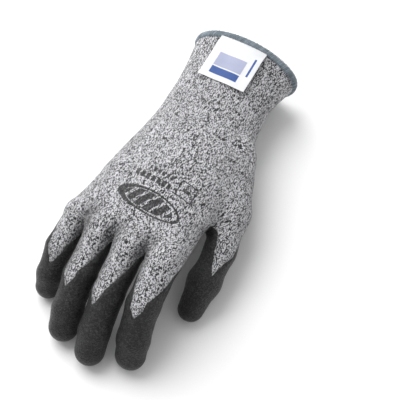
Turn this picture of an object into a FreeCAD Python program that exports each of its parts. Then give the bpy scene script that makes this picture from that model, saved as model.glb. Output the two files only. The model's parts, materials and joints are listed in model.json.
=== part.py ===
import FreeCAD, Part
import math
import os

# Dip-coated knitted work glove, right hand, back of the hand up.
# Frame: +X towards the thumb, +Y towards the cuff, +Z up. Millimetres and degrees.

V = FreeCAD.Vector

# Datum: the middle of the wrist, placed so that the origin is under the middle of the glove.
WRIST = V(-10.13, 55.01, 26.96)
PALM_PITCH = 7.3
PALM_ROLL = 5.4
CUFF_PITCH = 1.0
CUFF_ROLL = 1.6

# Walls
KNIT = 1.1
FILM = 0.5
SEAT = 0.05

# Hinges: half gap at the hinge line, height of the line below the tube's middle, margin past the range
HINGE_GAP = 0.4
HINGE_DROP = 0.35
WEDGE_MARGIN = 1.0
CREASE_CLEAR = 0.06
HINGE_OUT = 8.0

# Each finger root starts inside the hand, a little lower and slimmer, and rounds over where it bends
KNUCKLE_BACK = 24.0
KNUCKLE_DROP = 3.0
KNUCKLE_TAPER = 2.0
JOINT_FULL = 0.12

# Share of the free finger length taken by each segment
SEGMENT_SHARES = (0.40, 0.31, 0.29)

# (forward of the wrist, middle, half width, half height) of the hand's cross-sections
PALM_SECTIONS = (
    (-10, 1.2, 34.2, 21.0),
    (0, 1.5, 34.5, 21.0),
    (20, 2.5, 37.5, 20.5),
    (40, 2.5, 40.2, 19.5),
    (60, 1.5, 41.5, 18.5),
    (80, 1.2, 41.5, 16.5),
    (95, 0.7, 41.2, 13.5),
    (103, 0.3, 40.2, 9.5),
)
# The same for the cuff, measured back from the wrist
CUFF_SECTIONS = (
    (-8, 1.4, 34.7, 21.0),
    (0, 1.4, 34.4, 21.0),
    (15, 0.8, 33.4, 21.0),
    (30, -0.6, 32.8, 21.5),
    (45, -1.2, 33.9, 23.0),
    (63, -0.4, 38.0, 24.7),
)
CUFF_KNIT_END = 61.1
HEM_CENTRE = 62.3
HEM_RADIUS = 1.7

# Height of the dip level at the wrist side of the hand, and where the coating stops at the heel
DIP_HEIGHT = -1.5
COATING_HEEL = 7.0

# Fingers: lateral, forward and height of the root, free length, radii, splay, bends, tongue end
FINGERS = {
    "little": dict(root=(-34.3, 97.5, 0.0), length=60.5, radii=(8.9, 7.8), splay=3.4, bends=(23.2, 26, 19), tongue=0.53),
    "ring": dict(root=(-14.0, 105, 1.0), length=74, radii=(10.0, 9.0), splay=-1.0, bends=(22.4, 20, 16), tongue=0.51),
    "middle": dict(root=(8.2, 107.5, 2.0), length=79, radii=(10.3, 9.1), splay=-1.4, bends=(24.7, 17, 16), tongue=0.51),
    "index": dict(root=(31.4, 106.5, 1.2), length=73.5, radii=(10.7, 9.3), splay=-2.2, bends=(24.7, 26, 18), tongue=0.52),
}
# Range of each finger joint: opening, closing
FINGER_RANGES = ((20, 45), (25, 50), (18, 25))
WRIST_RANGE = (25, 25)

# Thumb: centre-line points in the palm's axes (lateral, forward, height), and their radii
THUMB_POINTS = ((27, 9, -4), (45.8, 44, -11), (52.0, 70.5, -17.5), (52.0, 91.0, -25.5), (50.1, 105.8, -37.1))
THUMB_RADII = (17.0, 12.6, 9.4, 9.3, 7.8)
THUMB_UP = V(0.5, 0.1, 0.85)
THUMB_RANGES = ((20, 25), (15, 40))
THUMB_TONGUE = 0.6

# Label: size, lateral middle, height over the crown of the cuff, slope, fold line from the sewn edge
LABEL_WIDTH = 34.0
LABEL_LENGTH = 34.0
LABEL_THICK = 0.5
LABEL_MIDDLE = -0.7
LABEL_RISE = 0.9
LABEL_SLOPE = 3.2
LABEL_HINGE = 0.9
PRINT_THICK = 0.15
FAR = 600.0


def heading(yaw, pitch):
    """Unit vector towards the fingertips, turned by yaw and raised by pitch."""
    y = math.radians(yaw)
    p = math.radians(pitch)
    return V(-math.sin(y) * math.cos(p), -math.cos(y) * math.cos(p), math.sin(p))


def axes(pitch, roll):
    """Forward, sideways and upward axes of the palm or the cuff."""
    forward = heading(0, pitch)
    side = V(1, 0, 0)
    up = forward.cross(side)
    r = math.radians(roll)
    return forward, side * math.cos(r) + up * math.sin(r), up * math.cos(r) - side * math.sin(r)


PALM = axes(PALM_PITCH, PALM_ROLL)
CUFF = axes(CUFF_PITCH, CUFF_ROLL)


def palm_point(lateral, forward, height):
    return WRIST + PALM[1] * lateral + PALM[0] * forward + PALM[2] * height


def unit(v):
    return v * (1.0 / v.Length)


def half_space(point, normal):
    """A large block on the side of a plane that its normal points to."""
    block = Part.makeBox(FAR, FAR, FAR, V(-FAR / 2, -FAR / 2, 0))
    block.Placement = FreeCAD.Placement(point, FreeCAD.Rotation(V(0, 0, 1), normal))
    return block


def prism(origin, along, up, side, profile, half_width):
    """Polygon given in (along, up) about origin, extruded to both sides."""
    corners = [origin + along * t + up * h - side * half_width for t, h in profile]
    face = Part.Face(Part.makePolygon(corners + corners[:1]))
    return face.extrude(side * (2 * half_width))


class Hinge:
    """A hinge line across a tube, with the bow-tie gap that its range needs."""

    def __init__(self, joint, before, after, up, radius, ranges, drop=HINGE_DROP):
        self.along = unit(before + after)
        self.side = unit(up.cross(self.along))
        self.up = unit(self.along.cross(self.side))
        self.joint = joint
        self.before = before
        self.after = after
        self.point = joint - self.up * (drop * radius)
        self.radius = radius
        self.ranges = ranges

    def bow_tie(self, clear=0.0):
        reach = 2.2 * self.radius
        gap = HINGE_GAP - clear
        top = gap + reach * math.tan(math.radians(self.ranges[0] / 2 + WEDGE_MARGIN))
        low = gap + reach * math.tan(math.radians(self.ranges[1] / 2 + WEDGE_MARGIN))
        profile = ((-top, reach), (top, reach), (gap, 0), (low, -reach), (-low, -reach), (-gap, 0))
        return prism(self.point, self.along, self.up, self.side, profile, self.radius + 1.6)

    def beyond(self):
        """The zone on the far side of the hinge, as wide as the tube."""
        reach = 2.2 * self.radius
        profile = ((0, -reach), (3 * reach, -reach), (3 * reach, reach), (0, reach))
        return prism(self.point, self.along, self.up, self.side, profile, self.radius + 1.2)

    def near_side(self):
        return half_space(self.point, self.along * -1)

    def far_side(self):
        return half_space(self.point, self.along)


def tube(a, b, ra, rb, before, after):
    """Solid cone from a to b, carried on past both ends."""
    length = (b - a).Length
    along = unit(b - a)
    taper = (rb - ra) / length
    r0 = ra - taper * before
    r1 = rb + taper * after
    if abs(r0 - r1) < 1e-6:
        return Part.makeCylinder(r0, length + before + after, a - along * before, along)
    return Part.makeCone(r0, r1, length + before + after, a - along * before, along)


def capped(a, b, ra, rb, before):
    """Solid cone from a to b with a round end at b."""
    along = unit(b - a)
    length = (b - a).Length
    side = unit(along.cross(V(0.3, 0.2, 0.9)))
    start = a - along * before
    r0 = ra + (ra - rb) / length * before
    foot = start + side * r0
    shoulder = b + side * rb
    bulge = b + side * (rb * math.sqrt(0.5)) + along * (rb * math.sqrt(0.5))
    nose = b + along * rb
    wire = Part.Wire([
        Part.makeLine(start, foot),
        Part.makeLine(foot, shoulder),
        Part.Arc(shoulder, bulge, nose).toShape(),
        Part.makeLine(nose, start),
    ])
    return Part.Face(wire).revolve(start, along, 360)


def bent_tube(hinge, grow):
    """Solid tube that follows the bend at a hinge."""
    reach = 0.9 * hinge.radius
    radius = hinge.radius + grow
    stations = (
        (hinge.joint - hinge.before * reach, hinge.before),
        (hinge.joint, hinge.along),
        (hinge.joint + hinge.after * reach, hinge.after),
    )
    wires = []
    for centre, normal in stations:
        side = unit(hinge.up.cross(normal))
        up = normal.cross(side)
        oval = Part.Ellipse(centre + side * (radius + 0.01), centre + up * radius, centre)
        wires.append(Part.Wire([oval.toShape()]))
    return Part.makeLoft(wires, True, False)


def loft(origin, along, side, up, sections, grow, end_grow=0.0):
    """Smooth solid through oval sections; grow is added all round and end_grow at the last section."""
    wires = []
    for i, (distance, middle, half_width, half_height) in enumerate(sections):
        if i == len(sections) - 1:
            distance += end_grow
        centre = origin + along * distance + side * middle
        oval = Part.Ellipse(centre + side * (half_width + grow), centre + up * (half_height + grow), centre)
        wires.append(Part.Wire([oval.toShape()]))
    return Part.makeLoft(wires, True, False)


def finger_chain(spec):
    """Centre-line points, directions and up vectors of a finger."""
    splay = math.radians(spec["splay"])
    forward = PALM[0] * math.cos(splay) - PALM[1] * math.sin(splay)
    points = [palm_point(*spec["root"])]
    directions = []
    ups = []
    pitch = 0.0
    for bend, share in zip(spec["bends"], SEGMENT_SHARES):
        pitch += math.radians(bend)
        directions.append(forward * math.cos(pitch) - PALM[2] * math.sin(pitch))
        ups.append(forward * math.sin(pitch) + PALM[2] * math.cos(pitch))
        points.append(points[-1] + directions[-1] * (spec["length"] * share))
    points[-1] = points[-1] - directions[-1] * spec["radii"][1]
    return points, directions, ups


def finger_radii(spec):
    root, tip = spec["radii"]
    reached = [0.0, SEGMENT_SHARES[0], SEGMENT_SHARES[0] + SEGMENT_SHARES[1], 1.0]
    return [root + (tip - root) * share for share in reached]


def finger_hinges(spec):
    points, directions, ups = finger_chain(spec)
    radii = finger_radii(spec)
    base = points[0] + directions[0] * HINGE_OUT
    joints = [base, points[1], points[2]]
    before = [directions[0], directions[0], directions[1]]
    radius = [radii[0], radii[1], radii[2]]
    return [
        Hinge(joints[i], before[i], directions[i], ups[i], radius[i], FINGER_RANGES[i])
        for i in range(3)
    ]


def thumb_chain():
    points = [palm_point(*p) for p in THUMB_POINTS]
    directions = [unit(b - a) for a, b in zip(points, points[1:])]
    return points, directions


def thumb_hinges():
    points, directions = thumb_chain()
    return [
        Hinge(points[i], directions[i - 1], directions[i], unit(THUMB_UP), THUMB_RADII[i], THUMB_RANGES[i - 2])
        for i in (2, 3)
    ]


def wrist_hinge():
    along = unit(PALM[0] + CUFF[0])
    return Hinge(WRIST, along, along, unit(PALM[2] + CUFF[2]), PALM_SECTIONS[1][2], WRIST_RANGE, drop=0.0)


def dip_plane(spec):
    """Block below a finger's coating line: side height at the root, top of the finger at the tongue."""
    points, directions, ups = finger_chain(spec)
    reach = spec["tongue"] * spec["length"]
    first = spec["length"] * SEGMENT_SHARES[0]
    radius = finger_radii(spec)[1]
    tip = points[1] + directions[1] * (reach - first) + ups[1] * radius
    start = points[0] + PALM[2] * DIP_HEIGHT
    along = unit(tip - start)
    side = unit(PALM[2].cross(directions[0]))
    return half_space(start, unit(along.cross(side)) * -1)


def thumb_dip_plane():
    points, directions = thumb_chain()
    up = unit(THUMB_UP)
    tip = points[2] + (points[3] - points[2]) * THUMB_TONGUE + up * THUMB_RADII[2]
    start = points[1] + up * DIP_HEIGHT
    along = unit(tip - start)
    side = unit(up.cross(directions[1]))
    return half_space(start, unit(along.cross(side)) * -1)


def limb_segments(points, radii, hinges, first, dip, name, nodes):
    """Knit tube, coating film and crease ring for each moving segment of a finger or the thumb."""
    last = len(hinges) - 1
    for i, hinge in enumerate(hinges):
        a, b = points[first + i], points[first + i + 1]
        ra, rb = radii[first + i], radii[first + i + 1]

        def solid(grow):
            if i == last:
                return capped(a, b, ra + grow, rb + grow, 8.0)
            return tube(a, b, ra + grow, rb + grow, 8.0, 8.0)

        def trimmed(shape):
            shape = shape.common(hinge.far_side()).cut(hinge.bow_tie())
            if i < last:
                shape = shape.common(hinges[i + 1].near_side()).cut(hinges[i + 1].bow_tie())
            return shape

        knit = solid(0.0).cut(solid(-KNIT))
        film = solid(SEAT + FILM).cut(solid(SEAT))
        nodes[f"{name}_knit_{i + 1}"] = trimmed(knit)
        nodes[f"{name}_coating_{i + 1}"] = trimmed(film).common(dip)
        ring = bent_tube(hinge, 0.0).cut(bent_tube(hinge, -KNIT))
        nodes[f"{name}_crease_{i + 1}"] = ring.common(hinge.bow_tie(CREASE_CLEAR))


def hand_solid(grow):
    """The hand with its finger stubs and the thumb's mound, before the hinge cuts."""
    body = loft(WRIST, PALM[0], PALM[1], PALM[2], PALM_SECTIONS, grow, grow)
    for spec in FINGERS.values():
        points, directions, _ = finger_chain(spec)
        radius = spec["radii"][0] + grow
        lateral, forward, height = spec["root"]
        knuckle = palm_point(lateral, forward - KNUCKLE_BACK, height - KNUCKLE_DROP)
        end = points[0] + directions[0] * (HINGE_OUT + 3.0)
        body = body.fuse(tube(knuckle, points[0], radius - KNUCKLE_TAPER, radius, 0.0, 0.0))
        body = body.fuse(tube(points[0], end, radius, radius, 0.0, 0.0))
        body = body.fuse(Part.makeSphere(radius + JOINT_FULL, points[0]))
    points, _ = thumb_chain()
    for i in (0, 1):
        r0, r1 = THUMB_RADII[i] + grow, THUMB_RADII[i + 1] + grow
        body = body.fuse(tube(points[i], points[i + 1], r0, r1, 0.0, 4.0 * i))
        if i == 0:
            body = body.fuse(Part.makeSphere(r1 + JOINT_FULL, points[1]))
    return body


def hand_trim(shape):
    """Cuts the hand back at the wrist, at every finger hinge and at the thumb hinge."""
    wrist = wrist_hinge()
    shape = shape.common(wrist.far_side()).cut(wrist.bow_tie())
    cutters = [finger_hinges(spec)[0] for spec in FINGERS.values()] + [thumb_hinges()[0]]
    for hinge in cutters:
        shape = shape.cut(hinge.beyond()).cut(hinge.bow_tie())
    return shape


def build_hand(nodes):
    outer = hand_solid(0.0)
    shell = hand_trim(outer.cut(hand_solid(-KNIT)))
    film = hand_trim(hand_solid(SEAT + FILM).cut(hand_solid(SEAT)))
    level = palm_point(0, 0, DIP_HEIGHT)
    above = half_space(level, PALM[2])
    below = half_space(level, PALM[2] * -1)
    heel = half_space(palm_point(0, COATING_HEEL, 0), PALM[0])
    nodes["palm_knit_back"] = shell.common(above)
    nodes["palm_knit_front"] = shell.common(below)
    nodes["palm_coating"] = film.common(below).common(heel)


def cuff_solid(grow, end):
    """Cuff tube from past the wrist to a distance back from it."""
    along = CUFF[0] * -1
    body = loft(WRIST, along, CUFF[1], CUFF[2], CUFF_SECTIONS, grow)
    return body.common(half_space(WRIST + along * end, CUFF[0]))


def cuff_oval(distance, grow):
    """Oval edge of the cuff at a distance back from the wrist."""
    (d0, m0, w0, h0), (d1, m1, w1, h1) = CUFF_SECTIONS[-2:]
    t = (distance - d0) / (d1 - d0)
    centre = WRIST - CUFF[0] * distance + CUFF[1] * (m0 + (m1 - m0) * t)
    width = w0 + (w1 - w0) * t + grow
    height = h0 + (h1 - h0) * t + grow
    return centre, Part.Ellipse(centre + CUFF[1] * width, centre + CUFF[2] * height, centre), width


def build_cuff(nodes):
    wrist = wrist_hinge()
    shell = cuff_solid(0.0, CUFF_KNIT_END).cut(cuff_solid(-KNIT - 0.2, FAR))
    nodes["cuff_knit"] = shell.common(wrist.near_side()).cut(wrist.bow_tie())
    palm_wall = loft(WRIST, PALM[0], PALM[1], PALM[2], PALM_SECTIONS, 0.0)
    palm_wall = palm_wall.cut(loft(WRIST, PALM[0], PALM[1], PALM[2], PALM_SECTIONS, -KNIT))
    wedge = wrist.bow_tie(CREASE_CLEAR)
    ring = shell.common(wedge).common(wrist.near_side())
    ring = ring.fuse(palm_wall.common(wedge).common(wrist.far_side()))
    nodes["wrist_crease"] = ring.removeSplitter()
    centre, oval, width = cuff_oval(HEM_CENTRE + 0.6, -KNIT / 2)
    section = Part.Wire([Part.makeCircle(HEM_RADIUS, centre + CUFF[1] * width, CUFF[2])])
    nodes["cuff_hem"] = Part.Wire([oval.toShape()]).makePipeShell([section], True, True)


def label_axes():
    """Middle of the label's sewn edge, and its directions along the cuff and away from it."""
    crown = WRIST - CUFF[0] * CUFF_KNIT_END + CUFF[1] * LABEL_MIDDLE
    crown = crown + CUFF[2] * (CUFF_SECTIONS[-1][3] + LABEL_RISE)
    slope = math.radians(LABEL_SLOPE)
    along = CUFF[0] * math.cos(slope) - CUFF[2] * math.sin(slope)
    return crown, along, CUFF[2] * math.cos(slope) + CUFF[0] * math.sin(slope)


def build_label(nodes):
    """Woven tape hanging from the hem over the back of the cuff, with a plain two-colour print."""
    crown, along, up = label_axes()

    def plate(t0, t1, half, lift, thick, shift=0.0):
        profile = ((t0, lift), (t1, lift), (t1, lift + thick), (t0, lift + thick))
        return prism(crown + CUFF[1] * shift, along, up, CUFF[1], profile, half)

    top = LABEL_THICK + 0.02
    nodes["label_tape"] = plate(LABEL_HINGE + 0.3, LABEL_LENGTH, LABEL_WIDTH / 2, 0.0, LABEL_THICK)
    nodes["label_panel"] = plate(13.0, 23.5, 10.0, top, PRINT_THICK, -1.1)
    nodes["label_band"] = plate(24.5, 30.0, 10.0, top, PRINT_THICK, -1.1)
    nodes["label_stripe"] = plate(8.5, 23.0, 0.7, top, PRINT_THICK, 13.2)
    nodes["label_seam"] = plate(-0.3, 0.3, LABEL_WIDTH / 2, -0.4, 0.8)


def build():
    nodes = {}
    build_hand(nodes)
    build_cuff(nodes)
    build_label(nodes)
    for name, spec in FINGERS.items():
        points, _, _ = finger_chain(spec)
        limb_segments(points, finger_radii(spec), finger_hinges(spec), 0, dip_plane(spec), name, nodes)
    points, _ = thumb_chain()
    limb_segments(points, THUMB_RADII, thumb_hinges(), 2, thumb_dip_plane(), "thumb", nodes)
    return nodes


def main():
    os.makedirs("parts", exist_ok=True)
    for name, shape in build().items():
        shape.exportStep(f"parts/{name}.step")
        box = shape.BoundBox
        print(name, shape.isValid(), len(shape.Solids), round(shape.Volume, 1),
              [round(v, 1) for v in (box.XMin, box.XMax, box.YMin, box.YMax, box.ZMin, box.ZMax)])


main()
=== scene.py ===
import json
import math

import bpy
import numpy as np
from mathutils import Matrix, Vector


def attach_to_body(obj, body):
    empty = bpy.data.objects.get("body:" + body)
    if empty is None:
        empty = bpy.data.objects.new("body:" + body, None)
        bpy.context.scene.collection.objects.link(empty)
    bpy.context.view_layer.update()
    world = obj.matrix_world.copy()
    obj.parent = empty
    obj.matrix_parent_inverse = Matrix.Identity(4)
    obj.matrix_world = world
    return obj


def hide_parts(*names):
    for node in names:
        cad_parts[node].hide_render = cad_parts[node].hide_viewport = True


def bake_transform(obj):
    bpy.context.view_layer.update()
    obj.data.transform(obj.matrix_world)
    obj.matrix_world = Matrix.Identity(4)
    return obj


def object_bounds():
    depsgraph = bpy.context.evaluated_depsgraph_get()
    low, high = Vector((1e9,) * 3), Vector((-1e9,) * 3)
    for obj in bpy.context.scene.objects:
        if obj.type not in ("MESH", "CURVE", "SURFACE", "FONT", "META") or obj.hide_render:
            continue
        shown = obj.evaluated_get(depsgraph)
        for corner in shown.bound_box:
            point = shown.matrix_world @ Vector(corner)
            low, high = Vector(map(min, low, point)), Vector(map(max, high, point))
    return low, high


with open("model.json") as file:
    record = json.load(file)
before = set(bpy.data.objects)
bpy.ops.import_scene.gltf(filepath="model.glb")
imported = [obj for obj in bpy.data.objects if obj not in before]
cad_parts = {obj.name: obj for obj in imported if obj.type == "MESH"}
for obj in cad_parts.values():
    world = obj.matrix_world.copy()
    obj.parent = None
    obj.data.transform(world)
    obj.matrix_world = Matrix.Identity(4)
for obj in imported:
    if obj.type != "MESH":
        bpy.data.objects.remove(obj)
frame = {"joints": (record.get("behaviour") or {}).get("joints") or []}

CAD_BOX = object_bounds()
MM = 0.001

# ---- dimensions, in millimetres and degrees
# Positions on the hand and the cuff are given from the wrist, in axes that lean with each of them.
WRIST = np.array(next(j["pos_m"] for j in frame["joints"] if j["name"] == "wrist_bend")) / MM
PALM_PITCH, PALM_ROLL = 7.3, 5.4
CUFF_PITCH, CUFF_ROLL = 1.0, 1.6
# Thickness of the fabric, and the step of the grid that the skin is meshed on
KNIT = 1.1
GRID = 1.15
# Wales round the hand and round a finger, size of a stitch, and shades of yarn along one stitch
HAND_WALES, FINGER_WALES = 154, 50
WALE, COURSE = 1.24, 1.2
STRANDS = 1.5

# Hand and cuff: forward of the wrist, middle, half width, height above and below the middle
SECTIONS = np.array([
    (-70, 0.1, 39.0, 25.8, 25.0),
    (-63, -0.3, 37.9, 24.9, 24.5),
    (-45, -1.2, 33.9, 22.6, 22.6),
    (-30, -0.6, 32.8, 21.2, 21.2),
    (-15, 0.8, 33.6, 20.6, 20.6),
    (0, 1.7, 34.8, 20.4, 20.4),
    (20, 2.5, 37.3, 20.0, 20.0),
    (40, 2.5, 40.0, 19.0, 19.0),
    (60, 1.5, 41.2, 17.6, 18.0),
    (80, 1.5, 40.4, 15.6, 16.5),
    (95, 0.7, 40.6, 13.4, 13.8),
    (112, 0.3, 39.5, 11.5, 11.0),
])
HAND_END = 103.0
WRIST_HALF = 15.0
HEM_AT = 62.6
# Height of the dip level, and how far in front of the wrist the coating starts
DIP_HEIGHT = -1.5
COATING_HEEL = 7.0
# Thickness of the coating at its edge, and how much more it has further in
COATING_EDGE, COATING_RISE = 0.06, 0.44
# Half the angle that the bare knit takes up round a finger's root
BARE_HALF = np.radians(96)
# Middle of the print on the back of the hand: lateral, forward
PRINT_AT = (6.0, 79.0)

# Fingers: place of the root, length to the tip, radii at root and tip, angle out to the side, bends of the
# three segments, and the bare knit on top: how far out it runs, as a share of the length, and its turn
FINGERS = {
    "little": dict(
        root=(-34.3, 97.5, 0.0), length=60.5, radii=(8.9, 7.8), splay=3.4,
        bends=(23.2, 26, 19), tongue=0.57, turn=8,
    ),
    "ring": dict(
        root=(-14.0, 105, 1.0), length=74, radii=(10.0, 9.0), splay=-1.0,
        bends=(22.4, 20, 16), tongue=0.52, turn=-20,
    ),
    "middle": dict(
        root=(8.2, 107.5, 2.0), length=79, radii=(10.3, 9.1), splay=-1.4,
        bends=(24.7, 17, 16), tongue=0.51, turn=-24,
    ),
    "index": dict(
        root=(31.4, 106.5, 1.2), length=73.5, radii=(10.7, 9.3), splay=-2.2,
        bends=(24.7, 26, 18), tongue=0.50, turn=0,
    ),
}
# Lengths of a finger's segments as shares of the whole, and its first hinge's distance from the root
SHARES = (0.40, 0.31, 0.29)
HINGE_OUT = 8.0

# Thumb: points of its centre-line from the palm to the tip, and the radius at each
THUMB_POINTS = (
    (27, 9, -4), (45.8, 44, -11), (52.0, 70.5, -17.5), (51.6, 91.0, -25.5), (50.1, 105.8, -37.1),
)
THUMB_RADII = (17.0, 12.6, 9.3, 9.9, 7.9)
THUMB_UP = np.array([0.5, 0.1, 0.85])
# Bare knit on the thumb: where it starts to narrow and where it ends, the turn of its point, and how far
# its edges start to the left and right of that
THUMB_KNIT = (16.5, 46.5)
THUMB_POINT_TURN = np.radians(-5)
THUMB_LEFT, THUMB_RIGHT = np.radians(46), np.radians(81)
# Where a finger's and the thumb's own skin starts, and how far it reaches from the centre-line
FINGER_START, FINGER_REACH = 2.5, 2.5
THUMB_START, THUMB_REACH = -6.0, 14.5
# Distance back from the wrist along the cuff
WRIST_SPAN = 12
# Web of skin between the thumb and the hand: two ends and their radii
WEB = ((30, 58, -5), (45, 52, -12))
WEB_RADII = (7.0, 6.5)

# Radii of the fillets: the hand's front edge, along a finger and the thumb, between fingers, at the knuckles,
# from the thumb to its web, and from both to the hand
END_FILLET = 9.0
FINGER_FILLET, THUMB_FILLET = 2.5, 4.0
GAP_FILLET = 1.4
KNUCKLE_FILLET = 7.0
WEB_FILLET = 9.0
THUMB_ROOT_FILLET = 5.5

# Label: middle, width, length and where its cloth starts; thickness, and lift and thickness of its prints
LABEL_MIDDLE, LABEL_WIDTH, LABEL_LENGTH = -0.7, 34.0, 34.0
LABEL_TOP = 0.5
LABEL_THICK, PRINT_LIFT, PRINT_THICK = 0.28, 0.06, 0.05

# Overlocked hem: turns of thread, thread radius, and half height and half width of the loops and the core
HEM_TURNS, HEM_THREAD = 164, 0.47
HEM_LOOP = (1.45, 2.5)
HEM_CORE = (1.15, 2.15)

# Camera, aimed from the wrist, and light
AZIMUTH, ELEVATION, ROLL = math.radians(27.9), math.radians(59.8), math.radians(1.4)
CAMERA_DISTANCE, LENS, SENSOR = 0.9625, 135.4, 36.0
CAMERA_TARGET = np.array([26.0, -48.4, 4.1])
SOFTBOX_PLACE, SOFTBOX_TARGET = (-0.75, 0.30, 0.95), (0, 0, 0.02)
SOFTBOX_SIZE, SOFTBOX_POWER = 1.5, 21.5
WORLD_STRENGTH = 0.62

# Numbers of the pieces that the skin is cut into: then come three for each finger and two for the thumb
HAND, WRIST_PIECE, CUFF_PIECE, FIRST_FINGER = 0, 1, 2, 3
THUMB_ROOT, THUMB_END = 15, 16


# ---- skeleton
def unit(v):
    return v / np.linalg.norm(v)


def unit_rows(v):
    return v / np.linalg.norm(v, axis=1, keepdims=True)


def axes(pitch, roll):
    p, r = math.radians(pitch), math.radians(roll)
    forward = np.array([0.0, -math.cos(p), math.sin(p)])
    side = np.array([1.0, 0.0, 0.0])
    up = np.cross(forward, side)
    return forward, side * math.cos(r) + up * math.sin(r), up * math.cos(r) - side * math.sin(r)


PALM = axes(PALM_PITCH, PALM_ROLL)
CUFF = axes(CUFF_PITCH, CUFF_ROLL)


def palm_point(lateral, forward, height):
    return WRIST + PALM[1] * lateral + PALM[0] * forward + PALM[2] * height


class Limb:
    """Centre-line of a finger or the thumb: points, radii, directions and up vectors."""

    # How far the first segment runs back into the hand, and the last one out past the tip
    ROOT_REACH, TIP_REACH = 30.0, 1000.0

    def __init__(self, name, points, radii, ups, joints, first):
        self.name = name
        self.points = points
        self.radii = radii
        self.dirs = [unit(b - a) for a, b in zip(points, points[1:])]
        self.ups = [unit(u - d * (u @ d)) for u, d in zip(ups, self.dirs)]
        self.joints = joints
        self.first = first

    def coords(self, p):
        """Distance along the centre-line from point `first`, angle round it from the top, distance from it,
        and the distance along it held still round the outside of each bend, so that it has no step there.
        """
        best = np.full(len(p), np.inf)
        along = np.zeros(len(p))
        reach = np.zeros(len(p))
        angle = np.zeros(len(p))
        start = 0.0
        for i in range(self.first, len(self.dirs)):
            a, d, up = self.points[i], self.dirs[i], self.ups[i]
            length = np.linalg.norm(self.points[i + 1] - a)
            q = p - a
            t = q @ d
            low = -self.ROOT_REACH if i == self.first else 0.0
            high = self.TIP_REACH if i == len(self.dirs) - 1 else length
            tc = np.clip(t, low, high)
            r = q - np.outer(tc, d)
            dist = np.linalg.norm(r, axis=1)
            side = np.cross(up, d)
            th = np.arctan2(r @ side, r @ up)
            take = dist < best
            best = np.where(take, dist, best)
            along = np.where(take, start + t, along)
            reach = np.where(take, start + tc, reach)
            angle = np.where(take, th, angle)
            start += length
        return along, angle, best, reach


def finger_limb(name, spec):
    splay = math.radians(spec["splay"])
    forward = PALM[0] * math.cos(splay) - PALM[1] * math.sin(splay)
    lateral, ahead, height = spec["root"]
    points = [palm_point(lateral * 0.93, ahead - 24, height - 3), palm_point(*spec["root"])]
    ups = [PALM[2]]
    pitch = 0.0
    for bend, share in zip(spec["bends"], SHARES):
        pitch += math.radians(bend)
        d = forward * math.cos(pitch) - PALM[2] * math.sin(pitch)
        ups.append(forward * math.sin(pitch) + PALM[2] * math.cos(pitch))
        points.append(points[-1] + d * (spec["length"] * share))
    root, tip = spec["radii"]
    points[-1] = points[-1] - d * tip
    reached = (0.0, SHARES[0], SHARES[0] + SHARES[1], 1.0)
    radii = [root - 2.0] + [root + (tip - root) * s for s in reached]
    limb = Limb(name, points, radii, ups, ["base", "middle", "tip"], 1)
    limb.centres = [points[1] + limb.dirs[1] * HINGE_OUT, points[2], points[3]]
    limb.tongue = spec["tongue"] * spec["length"]
    limb.turn = math.radians(spec["turn"])
    return limb


LIMBS = [finger_limb(n, s) for n, s in FINGERS.items()]
thumb_points = [palm_point(*q) for q in THUMB_POINTS]
THUMB = Limb("thumb", thumb_points, THUMB_RADII, [THUMB_UP] * 4, ["base", "tip"], 1)
THUMB.centres = [thumb_points[2], thumb_points[3]]


# ---- distance field
def smin(a, b, k):
    h = np.clip(0.5 + 0.5 * (b - a) / k, 0, 1)
    return b * (1 - h) + a * h - k * h * (1 - h)


def smoothstep(a, b, x):
    t = np.clip((x - a) / (b - a), 0, 1)
    return t * t * (3 - 2 * t)


fine = np.arange(-70, 112.5, 0.5)
kernel = np.exp(-0.5 * (np.arange(-16, 17) / 7.0) ** 2)
kernel /= kernel.sum()
COLUMNS = [np.interp(fine, SECTIONS[:, 0], SECTIONS[:, i]) for i in range(1, 5)]
TABLE = [np.convolve(np.pad(column, 16, mode="edge"), kernel, mode="valid") for column in COLUMNS]


def body_coords(p):
    """Forward, lateral and up from the wrist, in the palm's axes ahead of it and the cuff's behind."""
    q = p - WRIST
    fp, lp, up = q @ PALM[0], q @ PALM[1], q @ PALM[2]
    fc, lc, uc = q @ CUFF[0], q @ CUFF[1], q @ CUFF[2]
    w = smoothstep(-14, 14, fp)
    return fp * w + fc * (1 - w), lp * w + lc * (1 - w), up * w + uc * (1 - w)


def body_field(p):
    f, lat, up = body_coords(p)
    middle, a, top, low = (np.interp(f, fine, t) for t in TABLE)
    x = lat - middle
    b = np.where(up > 0, top, low)
    k0 = np.sqrt((x / a) ** 2 + (up / b) ** 2)
    k1 = np.sqrt((x / a ** 2) ** 2 + (up / b ** 2) ** 2)
    d = np.where(k0 > 1e-3, k0 * (k0 - 1) / np.maximum(k1, 1e-6), -b)
    return -smin(-d, -(f - HAND_END), END_FILLET)


def cone_field(p, a, b, ra, rb):
    ab = b - a
    t = np.clip((p - a) @ ab / (ab @ ab), 0, 1)
    return np.linalg.norm(p - a - np.outer(t, ab), axis=1) - (ra + (rb - ra) * t)


def limb_field(p, limb, fillet):
    d = None
    for i in range(len(limb.dirs)):
        c = cone_field(p, limb.points[i], limb.points[i + 1], limb.radii[i], limb.radii[i + 1])
        d = c if d is None else smin(d, c, fillet)
    return d


def hand_field(p):
    body = body_field(p)
    fingers = None
    for limb in LIMBS:
        d = limb_field(p, limb, FINGER_FILLET)
        fingers = d if fingers is None else smin(fingers, d, GAP_FILLET)
    d = smin(body, fingers, KNUCKLE_FILLET)
    web = cone_field(p, palm_point(*WEB[0]), palm_point(*WEB[1]), *WEB_RADII)
    thumb = smin(limb_field(p, THUMB, THUMB_FILLET), web, WEB_FILLET)
    return smin(d, thumb, THUMB_ROOT_FILLET)


def gradient(p, h=0.25):
    g = np.stack([hand_field(p + h * e) - hand_field(p - h * e) for e in np.eye(3)], 1)
    return g / np.maximum(np.linalg.norm(g, axis=1, keepdims=True), 1e-9)


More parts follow.
